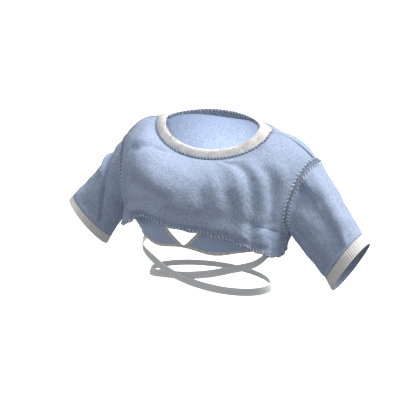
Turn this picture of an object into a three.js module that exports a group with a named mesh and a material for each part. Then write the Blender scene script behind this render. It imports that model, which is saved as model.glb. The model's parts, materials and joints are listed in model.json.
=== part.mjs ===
// Cropped wrap top: a fleece shirt cut short over a sewn-in bralette with one long
// waist strap. Millimetres, +Z up, the wearer faces -Y and their left is +X.
// The origin is the middle of the shoulder line.
import * as THREE from 'three';

// ---------------------------------------------------------------- sizes
const CLOTH = 2.0;            // thickness of the brushed fleece
const RIB = 2.6;              // thickness of the ribbed knit
const SEAM_R = 1.7;           // radius of an overlocked seam roll
const EDGE = 3.1;             // from a seam's centre line to the cut edge beside it

// neck: inner edge of the rib and its seam, both egg-shaped rings
const NECK = { half: 108, front: -48, back: 55, side: -4, zSide: 0, zFront: -45, zBack: 12 };
const NECK_SEAM = { half: 133, front: -58, back: 61, side: 5, zSide: -5, zFront: -61, zBack: 4 };

// shoulder seam: from the neck seam to the shoulder point
const SHOULDER = { x: 226, y: 30, z: -60, arch: 13 };

// armholes: centre, half height, reach to the front and to the back
const ARMHOLE = {
  left:  { mid: [209, 11, -132.5], up: [17, 19, 72.5], front: [-9, -63, 7],  back: [-4, 51, 2] },
  right: { mid: [209, 11, -134],   up: [17, 19, 74],   front: [-13, -57, 5], back: [-5, 51, 2] },
};

// cuffs: centres of rim and seam, slant of the opening, half sizes; soft = fullness of the sleeve, lean = rim drawn in at the top
const CUFF = {
  left:  { rimMid: [327, -20, -257], seamMid: [312, -20, -238], out: 59.5, fwd: 3,  rim: 63, seam: 60.5, flat: 0.78, soft: 2, lean: 0 },
  right: { rimMid: [305, -26, -262], seamMid: [296, -18, -246], out: 41,   fwd: 23, rim: 64, seam: 61.5, flat: 0.78, soft: -2, lean: 6.5 },
};

// hem of the shirt: half width, depth to front and back, heights
const HEM = { half: 182, front: 124, back: 118, mid: -37, squareF: 2.3, squareB: 2.1,
              zFront: -182, zSide: -240, zBack: -228, tilt: 7, lift: 17, liftX: 82, liftW: 38 };
const HEM_BAND = 7.5;
const TAPE = 14;              // depth of the tape inside the back of the neck

// bralette
const BAND = { z: -240, tall: 7, thick: 2.6, half: 143, front: 102, back: 84, mid: -29, dip: 5 };
const CUP = { notchX: 3.5, topIn: 118, topOut: 138, topZ: -96, sideX: 139, binding: 9, outer: 5, thick: 2.4 };
const BRA_STRAP = { wide: 13, thick: 1.8 };

// waist strap: one long flat strap that crosses in front
const WAIST = { half: 139.5, deep: 100, side: -4, mid: -5, zBack: -357, rise: 118, power: 2.1, skew: 9,
                turn: 300, wide: 16, thick: 1.7, clear: 3.6, flare: 0.3 };

const COLOUR = { fleece: 0xa9bbd9, rib: 0xe6deda, stitch: 0x66748f, tape: 0x59647a,
                 cup: 0x9fb3d3, binding: 0xdfdcd8, strap: 0xdcdcdc, hem: 0x8c9dbc };

// ---------------------------------------------------------------- helpers
const V = (x, y, z) => new THREE.Vector3(x, y, z);
const A = (a) => V(a[0], a[1], a[2]);
const mix = (a, b, t) => a + (b - a) * t;
const rad = (d) => d * Math.PI / 180;
const smooth = (a, b, x) => { const t = Math.min(1, Math.max(0, (x - a) / (b - a))); return t * t * (3 - 2 * t); };
const sgn = (side) => (side === 'left' ? 1 : -1);
const spow = (c, p) => Math.sign(c) * Math.pow(Math.abs(c), p);

const root = new THREE.Group();
root.name = 'wrap_top';

function add(name, colour, geometry, roughness = 0.95) {
  const m = new THREE.Mesh(geometry, new THREE.MeshStandardMaterial({ color: colour, roughness, metalness: 0 }));
  m.name = name;
  root.add(m);
  return m;
}

function geometryFrom(points, faces) {
  let volume = 0;
  for (const [a, b, c] of faces) volume += points[a].dot(points[b].clone().cross(points[c]));
  const order = volume < 0 ? faces.map(([a, b, c]) => [a, c, b]) : faces;
  const g = new THREE.BufferGeometry();
  g.setAttribute('position', new THREE.Float32BufferAttribute(points.flatMap((p) => [p.x, p.y, p.z]), 3));
  g.setIndex(order.flat());
  g.computeVertexNormals();
  return g;
}

// a closed sheet of cloth: surface(u, v) thickened by t, u may run round a ring
function cloth(surface, nu, nv, t, ring = false) {
  const cu = ring ? nu : nu + 1;
  const at = (i, j) => i * (nv + 1) + j;
  const mid = [];
  for (let i = 0; i < cu; i++) for (let j = 0; j <= nv; j++) mid.push(surface(i / nu, j / nv));
  const out = [], inn = [];
  for (let i = 0; i < cu; i++) {
    for (let j = 0; j <= nv; j++) {
      const a = ring ? (i + nu - 1) % nu : Math.max(0, i - 1);
      const b = ring ? (i + 1) % nu : Math.min(nu, i + 1);
      const du = mid[at(b, j)].clone().sub(mid[at(a, j)]);
      const dv = mid[at(i, Math.min(nv, j + 1))].clone().sub(mid[at(i, Math.max(0, j - 1))]);
      const n = du.cross(dv).normalize().multiplyScalar(t / 2);
      out.push(mid[at(i, j)].clone().add(n));
      inn.push(mid[at(i, j)].clone().sub(n));
    }
  }
  const N = mid.length, f = [];
  for (let i = 0; i < nu; i++) {
    const k = ring ? (i + 1) % nu : i + 1;
    for (let j = 0; j < nv; j++) {
      const a = at(i, j), b = at(k, j), c = at(k, j + 1), d = at(i, j + 1);
      f.push([a, b, c], [a, c, d], [N + a, N + c, N + b], [N + a, N + d, N + c]);
    }
    for (const [j, flip] of [[0, false], [nv, true]]) {
      const a = at(i, j), b = at(k, j);
      if (flip) f.push([a, b, N + b], [a, N + b, N + a]);
      else f.push([b, a, N + a], [b, N + a, N + b]);
    }
  }
  if (!ring) {
    for (let j = 0; j < nv; j++) {
      const a = at(0, j), d = at(0, j + 1), b = at(nu, j), c = at(nu, j + 1);
      f.push([a, d, N + d], [a, N + d, N + a], [c, b, N + b], [c, N + b, N + c]);
    }
  }
  return geometryFrom(out.concat(inn), f);
}

// a seam roll or flat strip along a path; section = list of [across, outward] in mm
function strip(path, outward, section, closed = false) {
  const n = path.length, m = section.length, pts = [], f = [];
  for (let i = 0; i < n; i++) {
    const a = path[closed ? (i + n - 1) % n : Math.max(0, i - 1)];
    const b = path[closed ? (i + 1) % n : Math.min(n - 1, i + 1)];
    const t = b.clone().sub(a).normalize();
    const o = outward(i, path[i]).clone();
    o.addScaledVector(t, -o.dot(t)).normalize();
    const w = t.clone().cross(o);
    for (const [p, q] of section) pts.push(path[i].clone().addScaledVector(w, p).addScaledVector(o, q));
  }
  const last = closed ? n : n - 1;
  for (let i = 0; i < last; i++) {
    const k = (i + 1) % n;
    for (let j = 0; j < m; j++) {
      const l = (j + 1) % m;
      f.push([i * m + j, i * m + l, k * m + l], [i * m + j, k * m + l, k * m + j]);
    }
  }
  if (!closed) {
    for (let j = 1; j < m - 1; j++) {
      f.push([0, j + 1, j], [(n - 1) * m, (n - 1) * m + j, (n - 1) * m + j + 1]);
    }
  }
  return geometryFrom(pts, f);
}
const roll = (r, k = 6, flat = 1) => Array.from({ length: k }, (_, j) => {
  const a = 2 * Math.PI * j / k; return [r * Math.cos(a), r * flat * Math.sin(a)];
});
const tapeSection = (w, t) => [[-w / 2, -t / 2], [w / 2, -t / 2], [w / 2, t / 2], [-w / 2, t / 2]];
const from = (c) => (i, p) => p.clone().sub(c);

// ---------------------------------------------------------------- master curves
// neck rings: a = 0 at the front middle, +90 at the wearer's left
function ringAt(R, a, grow = 0) {
  const c = Math.cos(a), s = Math.sin(a);
  const q = V((R.half + grow) * s,
    c > 0 ? mix(R.side, R.front - grow, c) : mix(R.side, R.back + grow, -c),
    c > 0 ? mix(R.zSide, R.zFront, Math.pow(c, 1.1)) : mix(R.zSide, R.zBack, Math.pow(-c, 1.5)));
  return q;
}

function shoulderAt(side, t) {
  const s = sgn(side), a = NECK_SEAM;
  return V(s * mix(a.half, SHOULDER.x, t), mix(a.side, SHOULDER.y, t),
    mix(a.zSide, SHOULDER.z, t) + SHOULDER.arch * 4 * t * (1 - t));
}

// armhole ring: f = 0 at the shoulder point, 90 at the front, 180 underarm
function armholeAt(side, f) {
  const h = ARMHOLE[side], p = A(h.mid).addScaledVector(A(h.up), Math.cos(f))
    .addScaledVector(A(Math.sin(f) > 0 ? h.front : h.back), Math.abs(Math.sin(f)));
  p.x *= sgn(side);
  return p;
}
// the way from the armhole seam into the body cloth
function armholeIn(side, f) {
  const m = A(ARMHOLE[side].mid); m.x *= sgn(side);
  const r = armholeAt(side, f).sub(m).normalize();
  const k = Math.pow(Math.sin(f / 2), 2);
  return V(-sgn(side) * (0.3 + 0.7 * (1 - k)), 0, 0).addScaledVector(r, k).normalize();
}

function cuffFrame(side) {
  const c = CUFF[side], s = sgn(side), t = rad(c.out), g = rad(c.fwd);
  const n = V(Math.sin(t) * Math.cos(g), -Math.sin(g), -Math.cos(t) * Math.cos(g));
  const e1 = V(Math.cos(t), 0, Math.sin(t)).addScaledVector(n, -V(Math.cos(t), 0, Math.sin(t)).dot(n)).normalize();
  const e2 = n.clone().cross(e1);
  if (e2.y > 0) e2.negate();                 // e2 points to the front
  const rimMid = A(c.rimMid), seamMid = A(c.seamMid);
  for (const q of [n, e1, e2, rimMid, seamMid]) q.x *= s;
  return { n, e1, e2, rimMid, seamMid, c };
}
// cuff ring: f as on the armhole, w = 0 at the seam, 1 at the rim
function cuffAt(side, f, w) {
  const { n, e1, e2, rimMid, seamMid, c } = cuffFrame(side), r = mix(c.seam, c.rim, w);
  return seamMid.lerp(rimMid, w).addScaledVector(e1, r * Math.cos(f))
    .addScaledVector(e2, r * c.flat * Math.sin(f)).addScaledVector(n, -c.lean * w * (1 + Math.cos(f)) / 2);
}

// hem ring: a as on the neck
function hemAt(a, drop = 0) {
  const s = Math.sin(a), c = Math.cos(a), n = c > 0 ? HEM.squareF : HEM.squareB;
  const x = HEM.half * spow(s, 2 / n), deep = c > 0 ? HEM.front : HEM.back;
  const y = HEM.mid - deep * spow(c, 2 / n);
  const side = HEM.zSide - HEM.tilt * spow(s, 1);
  let z;
  if (c > 0) {
    z = mix(HEM.zFront, side, Math.pow(Math.abs(x) / HEM.half, 3.2))
      + HEM.lift * Math.exp(-Math.pow((x + HEM.liftX) / HEM.liftW, 2)) * Math.sqrt(c);
  } else z = mix(side, HEM.zBack, c * c);
  return V(x, y, z + drop);
}

// ---------------------------------------------------------------- shirt body
// front = -1, back = +1; u runs from the wearer's right to their left, v downwards
const SH = 0.2, AH = 0.8;
const CHEST = { out: 46, fade: 3.2, up: 12 }, BLADES = { out: 26, fade: 1.3, up: 6 };
function panel(face) {
  const f = face, K = face < 0 ? CHEST : BLADES; // -1 front, +1 back
  const top = (u) => {
    if (u <= SH || u >= 1 - SH) {
      const side = u < 0.5 ? 'right' : 'left', t = u < 0.5 ? 1 - u / SH : 1 - (1 - u) / SH;
      const p = shoulderAt(side, t);
      return p.add(V(sgn(side) * EDGE * (1 - 2 * t), f * EDGE, 0));
    }
    const w = (u - SH) / (1 - 2 * SH);           // 0..1 across the neck
    const a = f < 0 ? mix(-Math.PI / 2, Math.PI / 2, w) : mix(-Math.PI / 2, -3 * Math.PI / 2, w);
    const p = ringAt(NECK_SEAM, a), k = Math.max(0, 1 - Math.min(w, 1 - w) / 0.09);
    p.addScaledVector(ringAt(NECK, a).sub(p).normalize(), -EDGE);
    p.y += f * EDGE * k;
    return p;
  };
  const flank = (side, v) => {
    if (v <= AH) {
      const q = v / AH * Math.PI, fi = f < 0 ? q : -q;
      const p = armholeAt(side, fi), k = v / AH;
      p.addScaledVector(armholeIn(side, fi), EDGE);
      p.y += f * EDGE * Math.max(0, 1 - Math.min(k, 1 - k) / 0.12);
      return p;
    }
    const k = (v - AH) / (1 - AH), e = armholeAt(side, Math.PI).addScaledVector(armholeIn(side, Math.PI), EDGE);
    const h = hemAt(sgn(side) * Math.PI / 2, HEM_BAND / 2 + 1.9);
    return e.lerp(h, k).add(V(0, f * EDGE * mix(1, 1.3, Math.min(1, 8 * k)), 0));
  };
  const bottom = (u) => {
    const a = f < 0 ? mix(-Math.PI / 2, Math.PI / 2, u) : mix(-Math.PI / 2, -3 * Math.PI / 2, u);
    const p = hemAt(a, HEM_BAND / 2 + 1.9);
    p.y += f * EDGE * Math.max(0, 1 - Math.min(u, 1 - u) / 0.04);
    return p;
  };
  const c00 = top(0), c10 = top(1), c01 = bottom(0), c11 = bottom(1);
  // lower down the cloth forgets the corners where the neck meets the shoulders
  const eased = (u) => {
    const p = V(0, 0, 0), r = Math.min(0.17, u, 1 - u);
    for (let i = -4; i <= 4; i++) p.addScaledVector(top(u + r * i / 4), (5 - Math.abs(i)) / 25);
    return p;
  };
  return (u, v) => {
    const p = V(0, 0, 0);
    p.addScaledVector(top(u).lerp(eased(u), smooth(0, 0.3, v)), 1 - v).addScaledVector(bottom(u), v);
    // what the armholes do to the cloth dies away towards the middle
    const r = Math.pow(1 - u, K.fade), l = Math.pow(u, K.fade);
    p.addScaledVector(flank('right', v), r).addScaledVector(flank('left', v), l);
    p.addScaledVector(c00, -r * (1 - v)).addScaledVector(c10, -l * (1 - v));
    p.addScaledVector(c01, -r * v).addScaledVector(c11, -l * v);
    const across = 1 - Math.pow(2 * u - 1, 6);
    // the cloth rounds over the shoulders and stands off the chest
    p.z += 55 * v * Math.pow(1 - v, 3) * (0.35 + 0.65 * Math.pow(Math.abs(2 * u - 1), 1.5)) * Math.min(1, 8 * u, 8 * (1 - u));
    const bell = 4.91 * Math.pow(v, 1.1) * Math.pow(1 - v, 1.2) * across;
    p.y += f * K.out * bell;
    p.z += K.up * bell;
    return p;
  };
}
const frontPanel = panel(-1), backPanel = panel(1);
add('front_body', COLOUR.fleece, cloth(frontPanel, 40, 15, CLOTH));
add('back_body', COLOUR.fleece, cloth(backPanel, 35, 10, CLOTH));

// ---------------------------------------------------------------- collar
const ribAt = (u, v) => {
  const a = 2 * Math.PI * u, p = ringAt(NECK_SEAM, a), q = ringAt(NECK, a);
  p.lerp(q, mix(EDGE / p.distanceTo(q), 1, v));
  p.z += 5 * Math.sin(Math.PI * v) * (0.6 + 0.4 * Math.cos(a));
  return p;
};
add('collar_rib', COLOUR.rib, cloth(ribAt, 64, 3, RIB, true));

const ringPath = (n, fn) => Array.from({ length: n }, (_, i) => fn(2 * Math.PI * i / n));
add('collar_seam', COLOUR.stitch,
  strip(ringPath(64, (a) => ringAt(NECK_SEAM, a)), from(V(0, 0, -40)), roll(SEAM_R, 5), true));

// tape that covers the seam inside the back of the neck
add('neck_tape', COLOUR.tape, cloth((u, v) => {
  const a = mix(rad(94), rad(266), u);
  const p = ringAt(NECK, a), q = ringAt(NECK_SEAM, a), way = q.clone().sub(p).normalize();
  const along = ringAt(NECK, a + 0.02).sub(ringAt(NECK, a - 0.02));
  const inward = along.cross(way).normalize();
  if (inward.z > 0) inward.negate();
  return p.addScaledVector(way, mix(0.5, TAPE, v)).addScaledVector(inward, 3.0);
}, 34, 2, 1.0));

for (const side of ['left', 'right']) {
  const s = sgn(side);
  // shoulder seam
  const sh = Array.from({ length: 13 }, (_, i) => shoulderAt(side, mix(0.045, 0.957, i / 12)));
  add(`shoulder_seam_${side}`, COLOUR.stitch, strip(sh, () => V(0, 0, 1), roll(SEAM_R)));
  // armhole seam
  const mid = A(ARMHOLE[side].mid); mid.x *= s;
  add(`armhole_seam_${side}`, COLOUR.stitch,
    strip(ringPath(40, (f) => armholeAt(side, f)), from(mid), roll(SEAM_R - 0.2, 5), true));
  // side seam
  const under = armholeAt(side, Math.PI), low = hemAt(s * Math.PI / 2, HEM_BAND / 2);
  const sd = Array.from({ length: 6 }, (_, i) => under.clone().lerp(low, mix(0.34, 0.9, i / 5)));
  add(`side_seam_${side}`, COLOUR.stitch, strip(sd, () => V(s, 0, 0), roll(1.4, 5)));
  // sleeve: two edges meet at the underarm seam
  const span = (f) => cuffAt(side, f, 0).sub(armholeAt(side, f)).normalize();
  const open = rad(2.6);
  const sleeveAt = (u, v) => {
    const f = mix(-Math.PI + open, Math.PI - open, u);
    const d = span(f), a = armholeAt(side, f).addScaledVector(d, EDGE - 0.5);
    const c = cuffAt(side, f, 0).addScaledVector(d, -2.4);
    const p = a.lerp(c, v);
    const axis = mid.clone().lerp(cuffAt(side, 0, 0).add(cuffAt(side, Math.PI, 0)).multiplyScalar(0.5), v);
    const r = p.clone().sub(axis).normalize();
    return p.addScaledVector(r, CUFF[side].soft * Math.sin(Math.PI * v));
  };
  add(`sleeve_${side}`, COLOUR.fleece, cloth(sleeveAt, 30, 7, CLOTH));
  const ua = Array.from({ length: 9 }, (_, i) => {
    const v = mix(0.03, 0.97, i / 8);
    return sleeveAt(0, v).add(sleeveAt(1, v)).multiplyScalar(0.5);
  });
  add(`underarm_seam_${side}`, COLOUR.stitch, strip(ua, () => V(0, 0, -1), roll(1.4, 5)));
  // cuff seam and cuff
  const cf = cuffFrame(side);
  add(`cuff_seam_${side}`, COLOUR.stitch,
    strip(ringPath(36, (f) => cuffAt(side, f, 0)), from(cf.seamMid), roll(1.6, 5), true));
  add(`cuff_${side}`, COLOUR.rib, cloth((u, v) => cuffAt(side, 2 * Math.PI * u, mix(side === 'left' ? 0.1 : 0.14, 1, v)), 36, 2, RIB, true));
}

// ---------------------------------------------------------------- hem
add('hem_band', COLOUR.hem,
  strip(ringPath(80, (a) => hemAt(a)), (i, p) => V(p.x, p.y - HEM.mid, 0), tapeSection(HEM_BAND, 2.8), true));

// ---------------------------------------------------------------- bralette
// the body the cups rest on: half width and reach to the front at a height
const bodyHalf = (z) => 143 + 22 * smooth(-240, -195, z) + 8 * smooth(-195, -90, z);
const bodyFront = (z) => {
  const up = z + 240;
  return 101 + 8 * smooth(0, 42, up) - 30 * smooth(70, 125, up) - 52 * smooth(90, 215, up);
};
const bodyMid = (z) => -29 + 30 * smooth(-150, -30, z);
const onBody = (x, z) => {
  const k = Math.min(0.985, Math.abs(x) / bodyHalf(z));
  return V(x, bodyMid(z) - bodyFront(z) * Math.pow(1 - Math.pow(k, 2.2), 1 / 2.2), z);
};
const bandLow = (a) => BAND.z + BAND.dip * Math.cos(6.4 * a) * Math.exp(-Math.pow(a / 0.87, 2));
const bandAt = (a, h, grow = 0) => {
  const w = Math.atan2(Math.sin(a), Math.cos(a)), c = Math.cos(w), s = Math.sin(w);
  const deep = c > 0 ? BAND.front : BAND.back, n = c > 0 ? 2.2 : 2.0;
  return V((BAND.half + grow) * spow(s, 2 / n), BAND.mid - (deep + grow) * spow(c, 2 / n), bandLow(Math.abs(w)) + h);
};
add('under_band', COLOUR.binding,
  strip(ringPath(72, (a) => bandAt(a, BAND.tall / 2)), (i, p) => V(p.x, p.y - BAND.mid, 0), tapeSection(BAND.tall, BAND.thick), true), 0.8);

for (const side of ['left', 'right']) {
  const s = sgn(side);
  // u = 0 at the inner edge, 1 at the outer; v = 0 at the band, 1 at the strap
  const cupAt = (u, v) => {
    const xin = mix(CUP.notchX, CUP.topIn, Math.pow(v, 0.92)), xout = mix(CUP.sideX, CUP.topOut, v) + 7 * Math.sin(Math.PI * v);
    const x = mix(xin, xout, u);
    const a = Math.asin(Math.min(1, Math.pow(mix(CUP.notchX, CUP.sideX, u) / BAND.half, 1.1)));
    const low = bandLow(a) + BAND.tall + 0.6;
    return onBody(s * x, mix(low, CUP.topZ, v));
  };
  const width = (v) => mix(CUP.sideX - CUP.notchX, CUP.topOut - CUP.topIn, v);
  const part = (lo, hi) => (u, v) => cupAt(mix(lo(v), hi(v), u), v);
  const b0 = (v) => Math.min(0.42, CUP.binding / width(v)), b1 = (v) => 1 - Math.min(0.25, CUP.outer / width(v));
  const gap = (v) => 0.8 / width(v);
  add(`cup_${side}`, COLOUR.cup, cloth(part((v) => b0(v) + gap(v), (v) => b1(v) - gap(v)), 12, 10, CUP.thick), 0.85);
  add(`cup_inner_binding_${side}`, COLOUR.binding, cloth(part(() => 0, b0), 2, 10, 2.8), 0.8);
  add(`cup_outer_binding_${side}`, COLOUR.binding, cloth(part(b1, () => 1), 1, 10, 2.8), 0.8);
  // strap over the shoulder, sewn under the shoulder seam
  const tip = cupAt(0.5, 1), seam = shoulderAt(side, 0.12);
  const back = bandAt(s * rad(138), BAND.tall, 0);
  const route = new THREE.CatmullRomCurve3([
    tip.clone().add(V(0, 0.5, 1.8)), V(s * 134, -36, -48), V(seam.x, seam.y, seam.z - SEAM_R - 1.5),
    V(s * 138, 45, -42), V(s * 124, 58, -120), V(s * 108, 50, -190), back.clone().add(V(0, 0, 0.8)),
  ], false, 'centripetal');
  const pts = route.getSpacedPoints(26);
  const axis = V(s * 128, 0, -140);
  add(`shoulder_strap_${side}`, COLOUR.binding,
    strip(pts, (i, p) => V((p.x - axis.x) * 0.25, p.y - axis.y, p.z > -60 ? (p.z + 75) * 1.1 : 0), tapeSection(BRA_STRAP.wide, BRA_STRAP.thick)), 0.8);
}

// ---------------------------------------------------------------- waist strap
// d runs from -turn to +turn, 0 at the middle of the back
const strapAt = (d) => {
  const a = Math.PI + d, k = Math.abs(d) / rad(WAIST.turn);
  const z = WAIST.zBack + WAIST.rise * Math.pow(k, WAIST.power)
    + WAIST.skew * smooth(rad(105), rad(160), d) * (1 - smooth(rad(250), rad(300), d));
  const off = -WAIST.clear * Math.sin(d / 2) * smooth(rad(95), rad(150), Math.abs(d)) * (1 - smooth(rad(215), rad(262), Math.abs(d)));
  const w = V(WAIST.side + (WAIST.half + off) * Math.sin(a), WAIST.mid - (WAIST.deep + off) * Math.cos(a), z);
  const b = bandAt(a, 0, BAND.thick / 2 + WAIST.thick / 2 + 1.0); b.z = z;
  return w.lerp(b, smooth(rad(215), rad(262), Math.abs(d)));
};
const strapOut = (i, p) => {
  const w = V((p.x - WAIST.side) / WAIST.half ** 2, (p.y - WAIST.mid) / WAIST.deep ** 2, 0).normalize();
  w.z = WAIST.flare;                           // the lower edge stands out, as over a hip
  const b = V(p.x / BAND.half ** 2, (p.y - BAND.mid) / (p.y > BAND.mid ? BAND.back : BAND.front) ** 2, 0).normalize();
  return w.lerp(b, smooth(37, 46, Math.abs(i - 52)));
};
const strapPath = Array.from({ length: 105 }, (_, i) => strapAt(mix(-rad(WAIST.turn), rad(WAIST.turn), i / 104)));
add('waist_strap', COLOUR.strap,
  strip(strapPath, strapOut, tapeSection(WAIST.wide, WAIST.thick)), 0.6);

export default root;
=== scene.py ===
# %% [markdown]
# # A cropped fleece top with a sewn-in bralette
# This is a lesson in dressing a finished construction model. The shapes and sizes
# are settled already: every seam line and every panel is known in millimetres.
# Blender adds what cloth shows close up: nap, folds, ribs, stitches and thread.
# We load the model first, because all the cloth is fitted to it.

# %% Load the model that everything is fitted to
import json
import bpy
import numpy as np
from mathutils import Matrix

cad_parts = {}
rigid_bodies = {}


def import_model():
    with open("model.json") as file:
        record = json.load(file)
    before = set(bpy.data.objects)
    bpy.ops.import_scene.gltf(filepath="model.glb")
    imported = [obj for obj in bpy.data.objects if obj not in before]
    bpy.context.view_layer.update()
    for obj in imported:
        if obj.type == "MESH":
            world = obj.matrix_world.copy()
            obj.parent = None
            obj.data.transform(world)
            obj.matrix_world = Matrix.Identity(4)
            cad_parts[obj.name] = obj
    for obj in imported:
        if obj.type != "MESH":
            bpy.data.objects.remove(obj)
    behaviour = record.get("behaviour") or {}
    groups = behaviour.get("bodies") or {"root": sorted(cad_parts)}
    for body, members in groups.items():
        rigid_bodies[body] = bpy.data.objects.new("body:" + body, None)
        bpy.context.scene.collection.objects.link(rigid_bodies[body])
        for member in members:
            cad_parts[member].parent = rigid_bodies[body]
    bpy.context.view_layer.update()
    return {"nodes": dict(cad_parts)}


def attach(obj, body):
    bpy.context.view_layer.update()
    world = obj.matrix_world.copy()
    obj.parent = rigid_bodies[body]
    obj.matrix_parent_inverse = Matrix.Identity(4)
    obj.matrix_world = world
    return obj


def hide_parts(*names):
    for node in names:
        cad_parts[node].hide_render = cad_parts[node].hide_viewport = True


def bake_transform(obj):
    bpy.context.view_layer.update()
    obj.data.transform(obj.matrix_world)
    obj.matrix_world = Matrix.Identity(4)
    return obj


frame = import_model()
print("parts in the model:", len(frame["nodes"]))

# %% [markdown]
# The camera comes first, so that the framing is known before any cloth is made.
# It stands two and a half metres away, a little above the shoulders and round
# towards the wearer's left, with a lens long enough to keep both cuffs in view
# without stretching the nearer one.

# %% The camera
from mathutils import Euler, Vector
from mathutils.bvhtree import BVHTree


def added(name, data):
    """A new object in the scene that holds data."""
    piece = bpy.data.objects.new(name, data)
    bpy.context.scene.collection.objects.link(piece)
    return piece


turn, height, away = np.radians(27.6), np.radians(19.1), 2.5
aim = np.array([0, -0.012, -0.189])
offset = np.array([np.sin(turn) * np.cos(height), -np.cos(turn) * np.cos(height), np.sin(height)])
camera = added("camera", bpy.data.cameras.new("camera"))
camera.location = aim + away * offset
camera.rotation_euler = Euler((np.pi / 2 - height, 0, turn))
camera.data.sensor_width = 36
camera.data.lens = 100.37
camera.data.clip_end = 100
bpy.context.scene.camera = camera
print("camera at", [round(c, 2) for c in camera.location])

# %% [markdown]
# Cloth is easiest to describe with a few short helpers in millimetres: a blend
# between two values, a soft step, a unit vector, and one that makes a mesh out
# of points and faces. Only the last one turns millimetres into metres, so every
# size below reads as a tailor would say it.

# %% Small helpers for sizes and meshes
FACING = {"left": 1, "right": -1}      # the wearer's left is towards +X
SIDES = ("left", "right")


def mix(a, b, t):
    return a + (b - a) * t


def smooth(a, b, x):
    t = np.clip((np.asarray(x, float) - a) / (b - a), 0, 1)
    return t * t * (3 - 2 * t)


def unit(v):
    return v / np.maximum(np.linalg.norm(v, axis=-1, keepdims=True), 1e-9)


def towards(v, way):
    """v, turned round wherever it points away from way."""
    return v * np.where(np.sum(v * way, -1, keepdims=True) < 0, -1, 1)


def xyz(x, y, z):
    return np.stack(np.broadcast_arrays(np.asarray(x, float), y, z), -1)


def power(c, p):
    return np.sign(c) * np.abs(c) ** p


def flip(p, side):
    return p * np.array([FACING[side], 1, 1])


def make(name, points, faces, uv=None, groove=None, kinds=None):
    """A mesh object from points in mm; uv in mm and groove 0-1 are per point, kinds is one slot per face."""
    mesh = bpy.data.meshes.new(name)
    metres = (np.asarray(points, float).reshape(-1, 3) / 1000).tolist()
    mesh.from_pydata(metres, [], [list(map(int, f)) for f in faces])
    if uv is not None:
        layer = mesh.uv_layers.new(name="UVMap")
        loops = np.array([l.vertex_index for l in mesh.loops])
        layer.data.foreach_set("uv", (np.asarray(uv, float).reshape(-1, 2)[loops] / 1000).ravel())
    if groove is not None:
        mesh.attributes.new("groove", "FLOAT", "POINT").data.foreach_set("value", np.asarray(groove, float).ravel())
    if kinds is not None:
        mesh.polygons.foreach_set("material_index", np.asarray(kinds, int))
    mesh.polygons.foreach_set("use_smooth", [True] * len(mesh.polygons))
    mesh.update()
    return added(name, mesh)


def only(piece):
    """Makes piece the one selected and active object, for the operators."""
    bpy.ops.object.select_all(action="DESELECT")
    piece.select_set(True)
    bpy.context.view_layer.objects.active = piece


def apply(piece, kind, **settings):
    """Adds a modifier to the piece and applies it at once."""
    only(piece)
    m = piece.modifiers.new(kind.title(), kind)
    for key, value in settings.items():
        setattr(m, key, value)
    bpy.ops.object.modifier_apply(modifier=m.name)


def settle(piece, body, slot, *nodes):
    """Hides the model's nodes that the piece stands for and hangs it on the body it moves with; slot is not used."""
    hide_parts(*nodes)
    if body:
        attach(piece, body)


print("helpers ready")

# %% [markdown]
# ## Finishes
# One function turns an sRGB hex value into the linear colour that the shader
# needs, and one adds a node with its settings and links. Every finish below
# starts from the real material and ends as one Principled shader.

# %% Colour and node helpers
def colour(hex_value):
    c = np.array([int(hex_value[i:i + 2], 16) for i in (1, 3, 5)]) / 255
    return (*np.where(c <= 0.04045, c / 12.92, ((c + 0.055) / 1.055) ** 2.4), 1.0)


def new_material(name, **shader):
    m = bpy.data.materials.new(name)
    m.use_nodes = True
    bsdf = m.node_tree.nodes["Principled BSDF"]
    for key, value in shader.items():
        bsdf.inputs[key.replace("_", " ")].default_value = value
    return m, m.node_tree


def node(tree, kind, inputs=(), **settings):
    """Adds one node; inputs is {socket: value or output socket}."""
    n = tree.nodes.new("ShaderNode" + kind)
    for key, value in settings.items():
        setattr(n, key, value)
    for key, value in dict(inputs).items():
        if isinstance(value, bpy.types.NodeSocket):
            tree.links.new(value, n.inputs[key])
        else:
            n.inputs[key].default_value = value
    return n


def per_mm(size):
    """The texture scale that makes one feature about size mm wide."""
    return 1000.0 / size


def noise(tree, at, size, detail=2.0, **more):
    """The value of a noise with lumps about size mm wide."""
    return node(tree, "TexNoise", {"Vector": at, "Scale": per_mm(size), "Detail": detail, **more}).outputs["Fac"]


def between(tree, value, low, high, top=1.0):
    """0 where the value is low, top where it is high."""
    limits = {"Value": value, "From Min": low, "From Max": high, "To Max": top}
    return node(tree, "MapRange", limits).outputs["Result"]


def blend(tree, share, first, second):
    """A colour between two, each a hex value or a socket."""
    first, second = (colour(c) if isinstance(c, str) else c for c in (first, second))
    return node(tree, "MixRGB", {"Fac": share, "Color1": first, "Color2": second}).outputs["Color"]


def bump(tree, height, strength, depth, under=None, **settings):
    """A relief of depth mm, on top of another where one is given."""
    inputs = {"Height": height, "Strength": strength, "Distance": depth / 1000}
    if under is not None:
        inputs["Normal"] = under
    return node(tree, "Bump", inputs, **settings).outputs["Normal"]


def dress(m, base, normal):
    """Links colour and relief to the material's shader, and gives the material back."""
    bsdf = m.node_tree.nodes["Principled BSDF"]
    m.node_tree.links.new(base, bsdf.inputs["Base Color"])
    m.node_tree.links.new(normal, bsdf.inputs["Normal"])
    return m


print("finishes can be mixed")

# %% [markdown]
# **Brushed cotton fleece.** The face of sweatshirt fleece is combed until short
# fibres stand up. They scatter light, so it has no gloss, glows a little where
# it turns away, and looks speckled at two to four millimetres where tufts lean
# different ways. The tufts here are drawn about twice the real size, so that
# they still show from where the camera stands. Its inside is the same cloth.

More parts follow.
